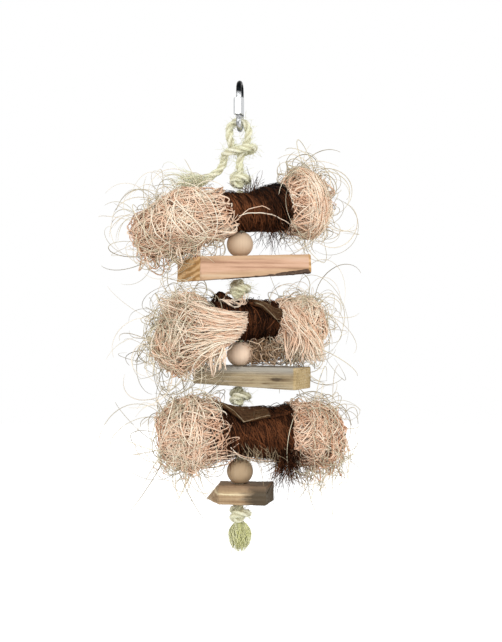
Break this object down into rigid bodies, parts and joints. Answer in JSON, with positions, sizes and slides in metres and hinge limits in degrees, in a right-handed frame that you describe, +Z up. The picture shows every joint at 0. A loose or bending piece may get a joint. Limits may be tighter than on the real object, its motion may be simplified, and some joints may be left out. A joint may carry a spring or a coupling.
{
  "type": "hanging bird chew toy",
  "caption": "Hanging chew toy for cage birds: a steel screw link and knotted rope carrying tiers of wood wool in rolled fibre mat, wooden beads and rough slats, ending in a tassel.",
  "frame": {"origin": "the hang point: inside of the link's upper bow, where the cage wire or hook sits", "axes": "+Z up along the hanging rope, -Y towards the viewer of the front, +X to that viewer's right"},
  "size_m": [0.1735, 0.0822, 0.3577],
  "materials": {
    "zinc_steel": "bright zinc plate",
    "sisal_rope": "hairy three-strand rope",
    "coconut_fibre": "coarse fibre mat",
    "wood_wool": "dry curled shavings",
    "turned_wood": "bare sanded wood",
    "fresh_wood": "sawn, bare",
    "weathered_wood": "weathered, bare",
    "brown_wood": "sawn, part weathered",
    "tree_bark": "rough bark"
  },
  "bodies": {
    "link": {"link_body": "zinc_steel"},
    "gate_nut": {"link_nut": "zinc_steel"},
    "eye": {"rope_eye": "sisal_rope"},
    "tail": {"rope_tail": "sisal_rope"},
    "line_1": {"rope_neck": "sisal_rope", "rope_stopper_knot": "sisal_rope", "rope_core_1": "sisal_rope", "rope_knot_1": "sisal_rope"},
    "roll_1": {"fibre_roll_1": "coconut_fibre", "left_tuft_1": "wood_wool", "right_tuft_1": "wood_wool"},
    "bead_1": {"bead_1": "turned_wood"},
    "slat_1": {"slat_1": "fresh_wood", "slat_bark": "tree_bark"},
    "bend_1": {"rope_bend_1": "sisal_rope"},
    "line_2": {"rope_core_2": "sisal_rope", "rope_knot_2": "sisal_rope"},
    "roll_2": {"fibre_roll_2": "coconut_fibre", "left_tuft_2": "wood_wool", "right_tuft_2": "wood_wool"},
    "bead_2": {"bead_2": "turned_wood"},
    "slat_2": {"slat_2": "weathered_wood"},
    "bend_2": {"rope_bend_2": "sisal_rope"},
    "line_3": {"rope_core_3": "sisal_rope", "rope_knot_3": "sisal_rope"},
    "roll_3": {"fibre_roll_3": "coconut_fibre", "left_tuft_3": "wood_wool", "right_tuft_3": "wood_wool"},
    "bead_3": {"bead_3": "turned_wood"},
    "slat_3": {"slat_3": "brown_wood"},
    "tassel": {"rope_tassel": "sisal_rope"}
  },
  "joints": [
    {"name": "gate_nut_travel", "type": "slide", "parent": "link", "child": "gate_nut", "axis": [0, 0, 1], "range_m": [0, 0.0058]},
    {"name": "eye_swing", "type": "hinge", "parent": "link", "child": "eye", "pos_m": [0, 0, -0.033], "axis": [0.1392, 0.9903, 0], "range_deg": [-45, 45]},
    {"name": "tail_lift", "type": "hinge", "parent": "eye", "child": "tail", "pos_m": [-0.0131, 0.00252, -0.05985], "axis": [0, 1, 0], "range_deg": [0, 45]},
    {"name": "neck_bend", "type": "hinge", "parent": "eye", "child": "line_1", "pos_m": [0, 0, -0.06165], "axis": [1, 0, 0], "range_deg": [-30, 30], "stiffness_Nm_per_rad": 0.04},
    {"name": "roll_1_twist", "type": "hinge", "parent": "line_1", "child": "roll_1", "pos_m": [0, 0, -0.12036], "axis": [0, 0, 1], "range_deg": [-30, 30]},
    {"name": "bead_1_spin", "type": "hinge", "parent": "line_1", "child": "bead_1", "pos_m": [0, 0, -0.12036], "axis": [0, 0, 1], "continuous": true},
    {"name": "slat_1_turn", "type": "hinge", "parent": "line_1", "child": "slat_1", "pos_m": [0, 0, -0.12982], "axis": [0, 0, 1], "range_deg": [-120, 120]},
    {"name": "bend_1_fore_aft", "type": "hinge", "parent": "line_1", "child": "bend_1", "pos_m": [0, 0, -0.16525], "axis": [1, 0, 0], "range_deg": [-12, 20], "stiffness_Nm_per_rad": 0.06},
    {"name": "bend_1_sideways", "type": "hinge", "parent": "bend_1", "child": "line_2", "pos_m": [0, 0, -0.16525], "axis": [0, 1, 0], "range_deg": [-12, 12], "stiffness_Nm_per_rad": 0.06},
    {"name": "roll_2_twist", "type": "hinge", "parent": "line_2", "child": "roll_2", "pos_m": [0, 0, -0.20343], "axis": [0, 0, 1], "range_deg": [-30, 30]},
    {"name": "bead_2_spin", "type": "hinge", "parent": "line_2", "child": "bead_2", "pos_m": [0, 0, -0.20343], "axis": [0, 0, 1], "continuous": true},
    {"name": "slat_2_turn", "type": "hinge", "parent": "line_2", "child": "slat_2", "pos_m": [0, 0, -0.21289], "axis": [0, 0, 1], "range_deg": [-110, 110]},
    {"name": "bend_2_fore_aft", "type": "hinge", "parent": "line_2", "child": "bend_2", "pos_m": [0, 0, -0.24671], "axis": [1, 0, 0], "range_deg": [-10, 20], "stiffness_Nm_per_rad": 0.06},
    {"name": "bend_2_sideways", "type": "hinge", "parent": "bend_2", "child": "line_3", "pos_m": [0, 0, -0.24671], "axis": [0, 1, 0], "range_deg": [-12, 12], "stiffness_Nm_per_rad": 0.06},
    {"name": "roll_3_twist", "type": "hinge", "parent": "line_3", "child": "roll_3", "pos_m": [0, 0, -0.29262], "axis": [0, 0, 1], "range_deg": [-30, 30]},
    {"name": "bead_3_spin", "type": "hinge", "parent": "line_3", "child": "bead_3", "pos_m": [0, 0, -0.29262], "axis": [0, 0, 1], "continuous": true},
    {"name": "slat_3_turn", "type": "hinge", "parent": "line_3", "child": "slat_3", "pos_m": [0, 0, -0.30208], "axis": [0, 0, 1], "continuous": true},
    {"name": "tassel_swing", "type": "hinge", "parent": "line_3", "child": "tassel", "pos_m": [0, 0, -0.33571], "axis": [1, 0, 0], "range_deg": [-30, 30]}
  ]
}
